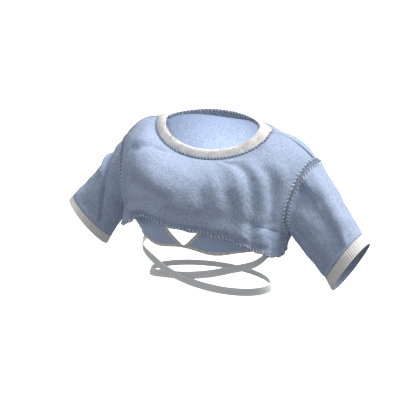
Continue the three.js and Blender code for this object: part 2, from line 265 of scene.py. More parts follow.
# %% Fleece
def make_fleece(name, light, dark, deep, relief):
    m, tree = new_material(name, Roughness=0.96, Sheen_Weight=0.22, Sheen_Roughness=0.45,
                           Sheen_Tint=colour("#E8EDF4"), Specular_IOR_Level=0.15)
    at = node(tree, "TexCoord").outputs["Object"]
    tufts, fibres = noise(tree, at, 2.9, 3.0, Roughness=0.65), noise(tree, at, 1.3, 2.0, Roughness=0.7)
    speckled = blend(tree, between(tree, tufts, 0.36, 0.62), dark, light)
    patches = between(tree, noise(tree, at, 46, 1.0), 0.35, 0.7, 0.1)
    low = bump(tree, tufts, 0.55, relief)
    return dress(m, blend(tree, patches, speckled, deep), bump(tree, fibres, 0.4, relief / 2.5, low))


fleece = make_fleece("brushed_cotton_fleece", "#BAC8E0", "#95A4BE", "#98A7C2", 2.0)

# %% [markdown]
# ** Cotton rib knit.** Collar and cuffs are knitted in raised columns with sunk
# ones between, which stretch and spring back. The columns are real shape here;
# the finish paints the sunk ones a little darker as painted shade, warms the
# white unevenly, and adds the small knit loops as a bump of one millimetre.

# %% Rib knit
def make_rib(name, light, dark, warm):
    m, tree = new_material(name, Roughness=0.9, Sheen_Weight=0.12, Specular_IOR_Level=0.2)
    at = node(tree, "TexCoord").outputs["Object"]
    # painted shade: the dark colour is laid into the grooves, where shade falls
    ribs = blend(tree, node(tree, "Attribute", attribute_name="groove").outputs["Fac"], light, dark)
    mottle = between(tree, noise(tree, at, 15), 0.45, 0.68, 0.55)
    return dress(m, blend(tree, mottle, ribs, warm), bump(tree, noise(tree, at, 1.4), 0.5, 0.6))


# the second colour of each rib knit is the painted shade in its grooves
rib_white = make_rib("cotton_rib_knit_white", "#FDFAF8", "#EDE7E3", "#C9B8AD")
# painted shade for the inside of the cuffs: a darker blue-grey rib
cuff_inside_shade = make_rib("cotton_rib_knit_painted_inside_shade", "#B6C2D6", "#8F9CB3", "#A2AFC5")
rib_cuff = make_rib("cotton_rib_knit_cuff", "#EFEDEA", "#B9B3AE", "#E0DBD6")

# %% [markdown]
# **Thread and tape.** Overlock stitching is spun polyester, two strands twisted,
# so it has a faint satin light and a short wavy texture. There are four shades:
# slate for the needle thread and the rolled edges, pale blue for the collar and
# cuffs, mid blue, and a near white on the armholes and the raw hem. The neck tape is
# a slate twill: its fine diagonal ribs come from a wave pattern on the tape's
# own map, drawn two millimetres apart so that they show.

# %% Thread, elastic and tape
def make_thread(name, light, dark):
    m, tree = new_material(name, Roughness=0.75, Sheen_Weight=0.1, Specular_IOR_Level=0.3)
    spun = noise(tree, node(tree, "TexCoord").outputs["Object"], 2.4)
    return dress(m, blend(tree, between(tree, spun, 0.38, 0.6), dark, light), bump(tree, spun, 0.6, 0.6))


def make_woven(name, light, dark, rib_mm, angle, depth, rough):
    """Tape or elastic: fine woven ribs at an angle to its length, from its own map."""
    m, tree = new_material(name, Roughness=rough, Sheen_Weight=0.08, Specular_IOR_Level=0.3)
    at = node(tree, "TexCoord").outputs
    turned = node(tree, "Mapping", {"Vector": at["UV"], "Rotation": (0, 0, np.radians(angle))}).outputs["Vector"]
    ribs = node(tree, "TexWave", {"Vector": turned, "Scale": per_mm(rib_mm) / 20, "Distortion": 0.6, "Detail": 1.0,
                                  "Detail Scale": 3.0}, wave_type="BANDS", bands_direction="Y").outputs["Fac"]
    ribbed = blend(tree, between(tree, ribs, 0, 1, 0.75), light, dark)
    grime = between(tree, noise(tree, at["Object"], 9), 0.4, 0.75, 0.25)
    return dress(m, blend(tree, grime, ribbed, dark), bump(tree, ribs, 0.5, depth, invert=True))


thread_slate = make_thread("spun_polyester_thread_slate", "#8A96AA", "#67738A")
thread_pale = make_thread("spun_polyester_thread_pale", "#E0E8F2", "#BAC7DA")
thread_white = make_thread("spun_polyester_thread_white", "#F4F8FC", "#DCE5F0")
thread_mid = make_thread("spun_polyester_thread_blue", "#AAB7CC", "#808DA5")
twill_tape = make_woven("cotton_twill_tape_slate", "#6C788C", "#4E596C", 2.0, 45, 0.5, 0.85)
elastic = make_woven("knitted_elastic_off_white", "#E3E0DC", "#CFCBC7", 2.4, 0, 0.3, 0.7)
strap_weave = make_woven("woven_strap_white", "#EDEDED", "#E0E0E0", 2.6, 90, 0.1, 0.62)

# %% [markdown]
# **Brushed microfibre.** The bralette cups are a smooth, very fine warp knit. It
# has almost no texture at this distance: a soft, slightly satin blue, deeper
# than the fleece, with a faint lengthwise knit.

# %% Microfibre
def make_microfibre(name, light, dark):
    m, tree = new_material(name, Roughness=0.68, Sheen_Weight=0.3, Sheen_Roughness=0.4,
                           Sheen_Tint=colour("#CFDDF2"), Specular_IOR_Level=0.3)
    at = node(tree, "TexCoord").outputs["Object"]
    return dress(m, blend(tree, noise(tree, at, 28), light, dark), bump(tree, noise(tree, at, 1.2, 1.0), 0.25, 0.4))


microfibre = make_microfibre("brushed_microfibre_knit", "#B8C8E4", "#AABAD9")
print("finishes:", [m.name for m in bpy.data.materials if m.use_nodes][-10:])

# %% [markdown]
# ## The lines the cloth is cut to
# A shirt is a set of seam lines with cloth stretched between them: the neck, two
# shoulder seams, two armholes, two cuffs and the hem. Each is one small formula
# in millimetres, the same one that the construction model uses, so cloth made
# from it lands exactly on its part. Angles start at the front middle.

# %% Sizes of the seam lines
NECK = dict(half=108, front=-48, back=55, side=-4, z_side=0, z_front=-45, z_back=12)
NECK_SEAM = dict(half=133, front=-58, back=61, side=5, z_side=-5, z_front=-61, z_back=4)
SHOULDER = dict(x=226, y=30, z=-60, arch=13)
ARMHOLE = {
    "left": dict(mid=(209, 11, -132.5), up=(17, 19, 72.5), front=(-9, -63, 7), back=(-4, 51, 2)),
    "right": dict(mid=(209, 11, -134), up=(17, 19, 74), front=(-13, -57, 5), back=(-5, 51, 2)),
}
CUFF = {
    "left": dict(rim_mid=(327, -20, -257), seam_mid=(312, -20, -238), out=59.5, fwd=3, rim=63, seam=60.5,
                 soft=2, lean=0),
    "right": dict(rim_mid=(305, -26, -262), seam_mid=(296, -18, -246), out=41, fwd=23, rim=64, seam=61.5,
                  soft=-2, lean=6.5),
}
CUFF_FLAT = 0.78
HEM = dict(half=182, front=124, back=118, mid=-37, square_front=2.3, square_back=2.1, z_front=-182, z_side=-240,
           z_back=-228, tilt=7, lift=17, lift_x=82, lift_w=38)
EDGE = 3.1
HEM_BAND = 7.5
NEAR, FAR = 0.2, 0.8


# %% Neck, shoulder and armhole lines
def ring_at(ring, a, grow=0.0):
    c, s = np.cos(a), np.sin(a)
    fore, aft = np.maximum(c, 0), np.maximum(-c, 0)
    y = np.where(c > 0, mix(ring["side"], ring["front"] - grow, fore), mix(ring["side"], ring["back"] + grow, aft))
    z = np.where(c > 0, mix(ring["z_side"], ring["z_front"], fore ** 1.1),
                 mix(ring["z_side"], ring["z_back"], aft ** 1.5))
    return xyz((ring["half"] + grow) * s, y, z)


def shoulder_at(side, t):
    a, b = NECK_SEAM, SHOULDER
    return xyz(FACING[side] * mix(a["half"], b["x"], t), mix(a["side"], b["y"], t),
               mix(a["z_side"], b["z"], t) + b["arch"] * 4 * t * (1 - t))


def armhole_at(side, f):
    h = ARMHOLE[side]
    f = np.asarray(f, float)[..., None]
    reach = np.where(np.sin(f) > 0, np.array(h["front"], float), np.array(h["back"], float))
    return flip(np.array(h["mid"]) + np.array(h["up"]) * np.cos(f) + reach * np.abs(np.sin(f)), side)


def armhole_in(side, f):
    m = flip(np.array(ARMHOLE[side]["mid"], float), side)
    r = unit(armhole_at(side, f) - m)
    k = np.sin(np.asarray(f) / 2) ** 2
    return unit(xyz(-FACING[side] * (0.3 + 0.7 * (1 - k)), 0, 0) + r * k[..., None])


# %% Cuff and hem lines
def cuff_frame(side):
    c = CUFF[side]
    t, g = np.radians(c["out"]), np.radians(c["fwd"])
    n = np.array([np.sin(t) * np.cos(g), -np.sin(g), -np.cos(t) * np.cos(g)])
    e1 = np.array([np.cos(t), 0, np.sin(t)])
    e1 = unit(e1 - n * (e1 @ n))
    e2 = np.cross(n, e1)
    e2 = -e2 if e2[1] > 0 else e2
    return [flip(q, side) for q in (n, e1, e2, np.array(c["rim_mid"], float), np.array(c["seam_mid"], float))]


def cuff_at(side, f, w):
    n, e1, e2, rim_mid, seam_mid = cuff_frame(side)
    c = CUFF[side]
    f, w = np.asarray(f, float)[..., None], np.asarray(w, float)[..., None]
    r = mix(c["seam"], c["rim"], w)
    return (mix(seam_mid, rim_mid, w) + e1 * r * np.cos(f) + e2 * r * CUFF_FLAT * np.sin(f)
            - n * c["lean"] * w * (1 + np.cos(f)) / 2)


def hem_at(a, drop=0.0):
    s, c = np.sin(a), np.cos(a)
    n = np.where(c > 0, HEM["square_front"], HEM["square_back"])
    x = HEM["half"] * power(s, 2 / n)
    y = HEM["mid"] - np.where(c > 0, HEM["front"], HEM["back"]) * power(c, 2 / n)
    side = HEM["z_side"] - HEM["tilt"] * s
    front = mix(HEM["z_front"], side, (np.abs(x) / HEM["half"]) ** 3.2)
    front = front + HEM["lift"] * np.exp(-((x + HEM["lift_x"]) / HEM["lift_w"]) ** 2) * np.sqrt(np.maximum(c, 0))
    return xyz(x, y, np.where(c > 0, front, mix(side, HEM["z_back"], c * c)) + drop)


# %% [markdown]
# ## Pieces made from a line
# A strap or a rolled seam is one cross-section carried along a path. The path
# gives the way forward, an outward direction says which way the flat side
# looks, and the section is a short list of offsets across and outward. The map
# runs across and along in millimetres, so woven patterns keep their real size.

# %% Carry a section along a path
def sections(path, outward, closed):
    ahead = np.roll(path, -1, 0) - np.roll(path, 1, 0)
    if not closed:
        ahead[0], ahead[-1] = path[1] - path[0], path[-1] - path[-2]
    t = unit(ahead)
    o = unit(outward - t * np.sum(outward * t, -1, keepdims=True))
    return t, o, np.cross(t, o)


def along(path):
    return np.concatenate([[0], np.cumsum(np.linalg.norm(np.diff(path, axis=0), axis=1))])


def sweep(path, outward, section, closed=False):
    """Points, faces and map of a section swept along path; section is [(across, outward)], anticlockwise."""
    path, section = np.asarray(path, float), np.asarray(section, float)
    n, k = len(path), len(section)
    t, o, w = sections(path, outward, closed)
    points = path[:, None] + w[:, None] * section[None, :, :1] + o[:, None] * section[None, :, 1:]
    faces = [(i * k + j, i * k + (j + 1) % k, (i + 1) % n * k + (j + 1) % k, (i + 1) % n * k + j)
             for i in range(n if closed else n - 1) for j in range(k)]
    if not closed:
        faces += [tuple(range(k))[::-1], tuple((n - 1) * k + j for j in range(k))]
    uv = np.stack(np.broadcast_arrays(section[None, :, 0] + 40, along(path)[:, None]), -1)
    return points.reshape(-1, 3), faces, uv.reshape(-1, 2)


def flat_section(wide, thick, soft=0.7):
    """A flat strap's section with softly rounded edges."""
    a = np.arange(16) / 16 * 2 * np.pi + np.pi / 16
    return np.stack([wide / 2 * power(np.cos(a), soft * 0.5), thick / 2 * power(np.sin(a), soft)], -1)


def round_section(wide, tall, count=10):
    a = np.arange(count) / count * 2 * np.pi
    return np.stack([wide / 2 * np.cos(a), tall / 2 * np.sin(a)], -1)


def strip(name, path, outward, section, material, slot, node_name, closed=False):
    """A finished strap or band along a path, which moves with the shirt."""
    piece = make(name, *sweep(path, outward, section, closed))
    piece.data.materials.append(material)
    settle(piece, "shirt", slot, node_name)
    return piece


# %% [markdown]
# ## The waist strap
# One flat woven strap, sewn to the underband at both ends, goes once round the
# back and crosses in front. It is a free cord in the sense that nothing on the
# garment holds it up between its two ends: the wearer's waist does, and the
# wearer isn't there. So it keeps the taut shape it would have on them, with its
# lower edge standing out a little, as a strap does that lies over a hip.

# %% The strap's route
BAND = dict(z=-240, tall=7, thick=2.6, half=143, front=102, back=84, mid=-29, dip=5)
WAIST = dict(half=139.5, deep=100, side=-4, mid=-5, z_back=-357, rise=118, power=2.1, skew=9, turn=300,
             wide=16, thick=1.7, clear=3.6, flare=0.3)


def band_low(a):
    return BAND["z"] + BAND["dip"] * np.cos(6.4 * a) * np.exp(-(a / 0.87) ** 2)


def band_at(a, up=0.0, grow=0.0):
    w = np.arctan2(np.sin(a), np.cos(a))
    c, s = np.cos(w), np.sin(w)
    deep, n = np.where(c > 0, BAND["front"], BAND["back"]), np.where(c > 0, 2.2, 2.0)
    return xyz((BAND["half"] + grow) * power(s, 2 / n), BAND["mid"] - (deep + grow) * power(c, 2 / n),
               band_low(np.abs(w)) + up)


def strap_at(d):
    turn, far = np.radians(WAIST["turn"]), np.degrees(np.abs(d))
    z = WAIST["z_back"] + WAIST["rise"] * (np.abs(d) / turn) ** WAIST["power"]
    z = z + WAIST["skew"] * smooth(105, 160, np.degrees(d)) * (1 - smooth(250, 300, np.degrees(d)))
    off = -WAIST["clear"] * np.sin(d / 2) * smooth(95, 150, far) * (1 - smooth(215, 262, far))
    a = np.pi + d
    w = xyz(WAIST["side"] + (WAIST["half"] + off) * np.sin(a), WAIST["mid"] - (WAIST["deep"] + off) * np.cos(a), z)
    b = band_at(a, 0, BAND["thick"] / 2 + WAIST["thick"] / 2 + 1.0)
    b[:, 2] = z
    return mix(w, b, smooth(215, 262, far)[:, None])


def oval_out(p, half, front, back, side, mid):
    return unit(xyz((p[:, 0] - side) / half ** 2, (p[:, 1] - mid) / np.where(p[:, 1] > mid, back, front) ** 2, 0))


d = np.linspace(-np.radians(WAIST["turn"]), np.radians(WAIST["turn"]), 261)
route = strap_at(d)
near_band = smooth(213, 265, np.degrees(np.abs(d)))[:, None]
hip_out = oval_out(route, WAIST["half"], WAIST["deep"], WAIST["deep"], WAIST["side"], WAIST["mid"])
hip_out = hip_out + [0, 0, WAIST["flare"]]
strap_out = mix(hip_out, oval_out(route, BAND["half"], BAND["front"], BAND["back"], 0, BAND["mid"]), near_band)
waist_tie = strip("waist_tie", route, strap_out, flat_section(WAIST["wide"], WAIST["thick"]), strap_weave,
                  "strap", "waist_strap")

# %% [markdown]
# ## Sheets of cloth
# A panel is a fine grid over its surface formula, pushed in and out along its
# own normal to make folds, and then given its thickness by Solidify. The grid
# is also carried a little past the cut edge, under the stitches, so that no
# slot shows between cloth and seam. The flat size that each sheet was cut to is
# measured on the smooth grid, before any folds.

# %% Grids, normals and relief
def lattice(nu, nv):
    return np.meshgrid(np.linspace(0, 1, nu + 1), np.linspace(0, 1, nv + 1), indexing="ij")


def normals(grid, ring=False):
    if ring:
        du = np.roll(grid, -1, 0) - np.roll(grid, 1, 0)
    else:
        du = np.gradient(grid, axis=0)
    return unit(np.cross(du, np.gradient(grid, axis=1)))


def grid_faces(nu, nv, ring=False):
    rows = nu if ring else nu - 1
    return [(i * nv + j, (i + 1) % nu * nv + j, (i + 1) % nu * nv + j + 1, i * nv + j + 1)
            for i in range(rows) for j in range(nv - 1)]


def spread(grid, start, end, axis=1):
    """Carries the first and last rows of the grid outwards by start and end mm."""
    g = np.moveaxis(grid.copy(), axis, 0)
    g[0] += unit(g[0] - g[2]) * start
    g[-1] += unit(g[-1] - g[-3]) * end
    return np.moveaxis(g, 0, axis)


def grid_size(grid, ring=False):
    """Mean width and length and the area of a grid, in metres."""
    g = np.concatenate([grid, grid[:1]]) if ring else grid
    across = np.linalg.norm(np.diff(g, axis=0), axis=-1)
    down = np.linalg.norm(np.diff(g, axis=1), axis=-1)
    a = (across[:, :-1] + across[:, 1:]) / 2
    b = (down[:-1] + down[1:]) / 2
    skew = np.linalg.norm(np.cross(unit(g[1:, :-1] - g[:-1, :-1]), unit(g[:-1, 1:] - g[:-1, :-1])), axis=-1)
    return across.sum(0).max() / 1000, down.sum(1).max() / 1000, float((a * b * skew).sum()) / 1e6


rng = np.random.RandomState(11)


def lumps(p, size, count=26):
    """Gentle unevenness about size mm wide, between about -1 and 1."""
    total = 0
    for _ in range(count):
        way = unit(rng.normal(size=3)) * 2 * np.pi / (size * rng.uniform(0.7, 1.6))
        total = total + np.sin(p @ way + rng.uniform(0, 2 * np.pi))
    return total / np.sqrt(count)


def from_line(at, line):
    """How far each point of at, two numbers in mm, is from a line of points."""
    line = np.asarray(line, float)
    best = np.full(at.shape[:-1], 1e9)
    for a, b in zip(line[:-1], line[1:]):
        k = np.clip(((at - a) @ (b - a)) / ((b - a) @ (b - a)), 0, 1)
        best = np.minimum(best, np.linalg.norm(at - a - k[..., None] * (b - a), axis=-1))
    return best


def folds(at, lines):
    """Sum of soft ridges (positive depth) and valleys: (depth mm, half width mm, line)."""
    return sum(depth * np.exp(-(from_line(at, line) / wide) ** 2) for depth, wide, line in lines)


def cloth(name, grid, thick, material, ring=False, uv=None, groove=None, rim=0.0):
    """A finished sheet from a grid of middle points in mm."""
    nu, nv = grid.shape[:2]
    piece = make(name, grid, grid_faces(nu, nv, ring), uv, groove)
    piece.data.materials.append(material)
    apply(piece, "SOLIDIFY", thickness=thick / 1000, offset=0.0, use_even_offset=False)
    if rim:
        apply(piece, "BEVEL", width=rim / 1000, segments=2, limit_method="ANGLE", angle_limit=np.radians(62))
    piece.data.polygons.foreach_set("use_smooth", [True] * len(piece.data.polygons))
    return piece


print("ready to lay cloth")

# %% [markdown]
# ## The hem
# The shirt was cut short with scissors and overlocked without turning it up, so
# the edge waves. The same small wave moves the hem line and the last two
# centimetres of both panels, or they would part company.

# %% How the hem waves
def hem_wave(a):
    """Outward and upward waver of the raw edge in mm, at angle a."""
    out = 1.5 * np.sin(17 * a + 0.6) + 1.0 * np.sin(31 * a + 2.1) + 0.5 * np.sin(53 * a)
    up = 1.0 * np.sin(23 * a + 1.2) + 0.7 * np.sin(41 * a + 0.3)
    return out, up


def hem_line(a):
    p = hem_at(a)
    out, up = hem_wave(a)
    p = p + unit(xyz(p[..., 0], p[..., 1] - HEM["mid"], 0)) * out[..., None]
    p[..., 2] += up
    return p


# %% [markdown]
# ## Front and back
# The front hangs from the collar and the armholes and falls free, so its folds
# run down: deep ones beside the left armhole, softer ones towards the middle. A
# slanting hollow lies low on the right, and two broad ones ease the chest. They
# are listed as depth, half width and a line of (degrees round the body, height).
# The back is plainer, with a few shallow falls from the shoulder blades.

# %% The shape of a panel
# how far each face stands out, and how fast the armholes' pull on the cloth dies away
CHEST, BLADES = dict(out=46, fade=3.2, up=12), dict(out=26, fade=1.3, up=6)


def panel(face):
    """The middle surface of the front (-1) or back (+1) of the shirt: u across, v down."""
    stand = CHEST if face < 0 else BLADES

    def around(u):
        return mix(-np.pi / 2, np.pi / 2, u) if face < 0 else mix(-np.pi / 2, -1.5 * np.pi, u)

    def top(u):
        u = np.asarray(u, float)
        w = np.clip((u - NEAR) / (1 - 2 * NEAR), 0, 1)
        a = around(w)
        p = ring_at(NECK_SEAM, a)
        p = p - unit(ring_at(NECK, a) - p) * EDGE
        p[..., 1] += face * EDGE * np.maximum(0, 1 - np.minimum(w, 1 - w) / 0.09)
        for side, on, t in (("right", u <= NEAR, 1 - u / NEAR), ("left", u >= 1 - NEAR, 1 - (1 - u) / NEAR)):
            t = np.clip(t, 0, 1)
            q = shoulder_at(side, t) + xyz(FACING[side] * EDGE * (1 - 2 * t), face * EDGE, 0)
            p = np.where(on[..., None], q, p)
        return p

    def flank(side, v):
        v = np.asarray(v, float)
        k = np.clip(v / FAR, 0, 1)
        f = -face * k * np.pi
        p = armhole_at(side, f) + armhole_in(side, f) * EDGE
        p[..., 1] += face * EDGE * np.maximum(0, 1 - np.minimum(k, 1 - k) / 0.12)
        k = np.clip((v - FAR) / (1 - FAR), 0, 1)
        half = np.full_like(v, np.pi)
        e = armhole_at(side, half) + armhole_in(side, half) * EDGE
        h = hem_at(np.full_like(v, FACING[side] * np.pi / 2), HEM_BAND / 2 + 1.9)
        q = mix(e, h, k[..., None]) + xyz(0, face * EDGE * mix(1, 1.3, np.minimum(1, 8 * k)), 0)
        return np.where((v <= FAR)[..., None], p, q)

    def bottom(u):
        p = hem_at(around(u), HEM_BAND / 2 + 1.9)
        p[..., 1] += face * EDGE * np.maximum(0, 1 - np.minimum(u, 1 - u) / 0.04)
        return p

    def eased(u):
        r = np.minimum(0.17, np.minimum(u, 1 - u))
        return sum(top(u + r * i / 4) * (5 - abs(i)) / 25 for i in range(-4, 5))

    def surface(u, v):
        u, v = np.asarray(u, float), np.asarray(v, float)
        U, W = u[..., None], v[..., None]
        c00, c10 = top(np.array(0.0)), top(np.array(1.0))
        c01, c11 = bottom(np.array(0.0)), bottom(np.array(1.0))
        p = mix(top(u), eased(u), smooth(0, 0.3, W)) * (1 - W) + bottom(u) * W
        r, l = (1 - U) ** stand["fade"], U ** stand["fade"]
        p = p + flank("right", v) * r + flank("left", v) * l
        p = p - c00 * r * (1 - W) - c10 * l * (1 - W) - c01 * r * W - c11 * l * W
        mid = np.abs(2 * u - 1)
        p[..., 2] += 55 * v * (1 - v) ** 3 * (0.35 + 0.65 * mid ** 1.5) * np.minimum(1, np.minimum(8 * u, 8 * (1 - u)))
        bell = 4.91 * v ** 1.1 * (1 - v) ** 1.2 * (1 - mid ** 6)
        p[..., 1] += face * stand["out"] * bell
        p[..., 2] += stand["up"] * bell
        return p

    return surface


# %% Fold lines and the two panels
AROUND = 2.6                     # mm of cloth to each degree round the body
PANEL_WIDE, PANEL_TALL = 420, 190           # roughly, to place what fades out near an edge


def line(*points):
    return [(deg * AROUND, z) for deg, z in points]


FRONT_FOLDS = [
    (-6.0, 14, line((61, -58), (62, -105), (62.5, -145), (62, -190))),
    (-6.5, 14, line((74, -62), (76, -95), (77, -125), (74, -165))),
    (-4.0, 13, line((45, -100), (48, -130), (50, -172))),
    (-3.0, 13, line((24, -108), (27, -135), (24, -160))),
    (3.0, 13, line((55, -62), (55, -110), (56, -150), (56, -195))),
    (3.2, 13, line((68, -58), (68.5, -100), (68, -150), (68, -205))),
    (2.5, 14, line((36, -80), (38, -130), (36, -165))),
    (2.0, 13, line((83, -60), (86, -95))),
    (-10.0, 19, line((-50, -110), (-30, -118), (-12, -130), (-8, -150))),
    (5.0, 14, line((-48, -168), (-28, -172))),
    (9.0, 40, line((-40, -156), (20, -160), (62, -176))),
    (-7.0, 48, line((-45, -112), (20, -116), (64, -124))),
    (-8.0, 15, line((-70, -52), (-63, -95), (-62, -130), (-62, -195))),
    (-4.0, 12, line((-84, -95), (-80, -140), (-78, -190))),
]
BACK_FOLDS = [
    (-4.0, 16, line((122, -70), (128, -130), (130, -205))),
    (3.0, 16, line((138, -90), (142, -160), (144, -210))),
    (-4.0, 16, line((-122, -70), (-127, -130), (-131, -205))),
    (3.0, 16, line((-139, -90), (-141, -160), (-146, -210))),
    (-2.5, 20, line((171, -60), (168, -130), (172, -200))),
    (2.5, 18, line((-168, -80), (-166, -200))),
]


def round_body(p):
    """Each point as (mm round the body, height)."""
    deg = np.degrees(np.arctan2(p[..., 0], -(p[..., 1] - HEM["mid"])))
    return np.stack([deg * AROUND, p[..., 2]], -1)


def shirt_panel(name, face, nu, nv, lines):
    u, v = lattice(nu, nv)
    surface = panel(face)
    ease = 0.07 * smooth(0.04, 0.3, np.minimum(u, 1 - u))       # irons out the corner level with the underarm
    ease = np.minimum(ease, np.minimum(v, 1 - v))
    smooth_grid = sum(surface(u, v + ease * k / 4) * (5 - abs(k)) / 25 for k in range(-4, 5))
    size = grid_size(smooth_grid)
    n = normals(smooth_grid)
    if n[nu // 2, nv // 2, 1] * face < 0:
        n = -n
    from_side, from_top, from_hem = np.minimum(u, 1 - u) * PANEL_WIDE, v * PANEL_TALL, (1 - v) * PANEL_TALL
    free = smooth(0, 26, from_side) * smooth(0, 22, from_top)
    relief = folds(round_body(smooth_grid), lines) * free * smooth(0, 15, from_hem)
    still = smooth(0, 9, np.minimum(from_side, from_top))
    uneven = 0.6 * lumps(smooth_grid, 42) + 0.2 * lumps(smooth_grid, 15) + 0.14 * lumps(smooth_grid, 7)
    relief = relief + still * uneven
    grid = smooth_grid + n * relief[..., None]
    around = mix(-np.pi / 2, np.pi / 2, u) if face < 0 else mix(-np.pi / 2, -1.5 * np.pi, u)
    target = hem_line(around)
    drop = (grid[:, -1:] - target[:, -1:]) * np.array([1, 1, 0]) + np.array([0, 0, HEM_BAND / 2 - 1.2])
    low = smooth(-24, 0, -from_hem)[..., None]
    grid = grid - low * drop
    grid = spread(spread(grid, 2.4, 0.0), 2.3, 2.3, axis=0)
    if np.cross(grid[1, 0] - grid[0, 0], grid[0, 1] - grid[0, 0]) @ n[0, 0] < 0:
        grid = grid[::-1]
    piece = cloth(name, grid, 2.0, fleece)
    print(name, "flat", [round(s, 3) for s in size])
    return piece, size


def declare(piece, node_names, body, slot):
    """What the finished sheet stands for and what it moves with."""
    settle(piece, body, slot, *node_names)


shirt_front, front_size = shirt_panel("shirt_front", -1, 240, 132, FRONT_FOLDS)
declare(shirt_front, ["front_body"], "shirt", "fleece")
shirt_back, back_size = shirt_panel("shirt_back", 1, 200, 110, BACK_FOLDS)
declare(shirt_back, ["back_body"], "shirt", "fleece")

# %% [markdown]
# ## Sleeves
# Each sleeve is a tube cut from one piece and closed under the arm. The left one
# hangs from the top of the shoulder, so its front half drops in one sharp crease
# all the way to the cuff; the right one is pushed up a little and buckles near
# the armhole. A sleeve bends at the armhole when the arm is raised, but here the
# sleeve cloth stays where it is made and is hung on no moving body.

# %% The shape of a sleeve
def sleeve_at(side, u, v, open_deg=2.6):
    o = np.radians(open_deg)
    f = mix(-np.pi + o, np.pi - o, u)
    v = np.asarray(v, float)[..., None]
    d = unit(cuff_at(side, f, 0 * f) - armhole_at(side, f))
    p = mix(armhole_at(side, f) + d * (EDGE - 0.5), cuff_at(side, f, 0 * f) - d * 2.4, v)
    mid = flip(np.array(ARMHOLE[side]["mid"], float), side)
    top, low = cuff_at(side, np.array(0.0), np.array(0.0)), cuff_at(side, np.array(np.pi), np.array(0.0))
    return p + unit(p - mix(mid, (top + low) / 2, v)) * CUFF[side]["soft"] * np.sin(np.pi * v)


# %% The two sleeves
# folds as (depth, half width, line of (degrees from the shoulder to the front, share of the length))
SLEEVE_FOLDS = {
    "left": [(-5.0, 7, [(62, 0.02), (55, 0.2), (47, 0.42), (50, 0.7), (52, 0.96)]),
             (4.0, 13, [(30, 0.1), (28, 0.45), (34, 0.9)]),
             (-5.5, 15, [(84, 0.06), (72, 0.2), (62, 0.34)]),
             (3.5, 22, [(98, 0.55), (92, 0.9)]),
             (-2.5, 10, [(128, 0.2), (124, 0.6), (118, 0.95)]),
             (1.2, 5, [(24, 0.62), (26, 0.8)]),
             (-3.0, 16, [(-70, 0.1), (-60, 0.5), (-66, 0.9)]),
             (2.5, 18, [(-110, 0.2), (-104, 0.8)])],
    "right": [(-9.0, 8, [(-25, 0.27), (6, 0.31), (40, 0.36), (78, 0.5), (118, 0.62)]),
              (6.0, 9, [(-20, 0.43), (12, 0.45), (40, 0.5)]),
              (3.5, 9, [(-18, 0.15), (14, 0.19)]),
              (3.0, 20, [(62, 0.12), (84, 0.24)]),
              (-3.0, 20, [(88, 0.55), (112, 0.86)]),
              (-2.5, 16, [(-70, 0.15), (-62, 0.6), (-70, 0.9)])],
}
# where the front of a sleeve drops in below its crease: depth and the degrees where it starts, is full, and ends
SLEEVE_HOLLOW = {"left": (-11.0, 46, 60, 112, 168), "right": (-3.0, 50, 80, 120, 170)}
SLEEVE_AROUND = 1.06             # mm of cloth to each degree round the arm
SLEEVE_LONG, SLEEVE_WIDE = 150, 380         # roughly, in mm


def follow_arm(piece):
    """Bakes the piece's placement into its points."""
    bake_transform(piece)


sleeves = {}
for side in SIDES:
    u, v = lattice(150, 72)
    tube = sleeve_at(side, u, v, 0.9)
    size = grid_size(tube)
    middle = tube.mean(0, keepdims=True)
    n = towards(normals(tube), tube - middle)
    degrees = mix(-179.1, 179.1, u)
    length = np.linalg.norm(tube[:, -1] - tube[:, 0], axis=-1)[:, None]
    at = np.stack([degrees * SLEEVE_AROUND, v * length], -1)
    lines = [(depth, wide, [(deg * SLEEVE_AROUND, share * SLEEVE_LONG) for deg, share in way])
             for depth, wide, way in SLEEVE_FOLDS[side]]
    ends = smooth(0, 14, v * length) * smooth(0, 12, (1 - v) * length)
    relief = folds(at, lines) * mix(0.25, 1, ends) * smooth(0, 14, np.minimum(u, 1 - u) * SLEEVE_WIDE)
    depth, first, full, late, last = SLEEVE_HOLLOW[side]
    relief = relief + depth * smooth(first, full, degrees) * (1 - smooth(late, last, degrees)) * mix(0.3, 1, ends)
    relief = relief + ends * (0.8 * lumps(tube, 38) + 0.3 * lumps(tube, 14) + 0.14 * lumps(tube, 7))
    grid = tube + n * (relief * smooth(0, 3.5, np.minimum(v, 1 - v) * length))[..., None]
    grid = spread(grid, 2.0, 2.2)
    if np.sum(np.cross(grid[41, 30] - grid[40, 30], grid[40, 31] - grid[40, 30]) * n[40, 30]) < 0:
        grid = grid[::-1]
    sleeves[side] = cloth("sleeve_cloth_" + side, grid, 2.0, fleece)
    declare(sleeves[side], ["sleeve_" + side], None, "fleece")
    follow_arm(sleeves[side])
    print("sleeve", side, "flat", [round(s, 3) for s in size])

# %% [markdown]
# ## Ribbed collar and cuffs
# Rib knit is folded double and stretched into the edge, so the ribs fan out
# round the neck and run along the arm at the cuffs. Five millimetres from one
# rib to the next is right for a heavy rib. Each rib is round on top with a
# narrow groove beside it, and its depth is kept as a value on every point,
# from which the finish paints shade into it. Inside, the cuffs get a darker
# blue-grey rib as painted shade, which shows where the left sleeve opens towards the camera.

# %% Collar and cuffs
POINTS_PER_RIB = 7


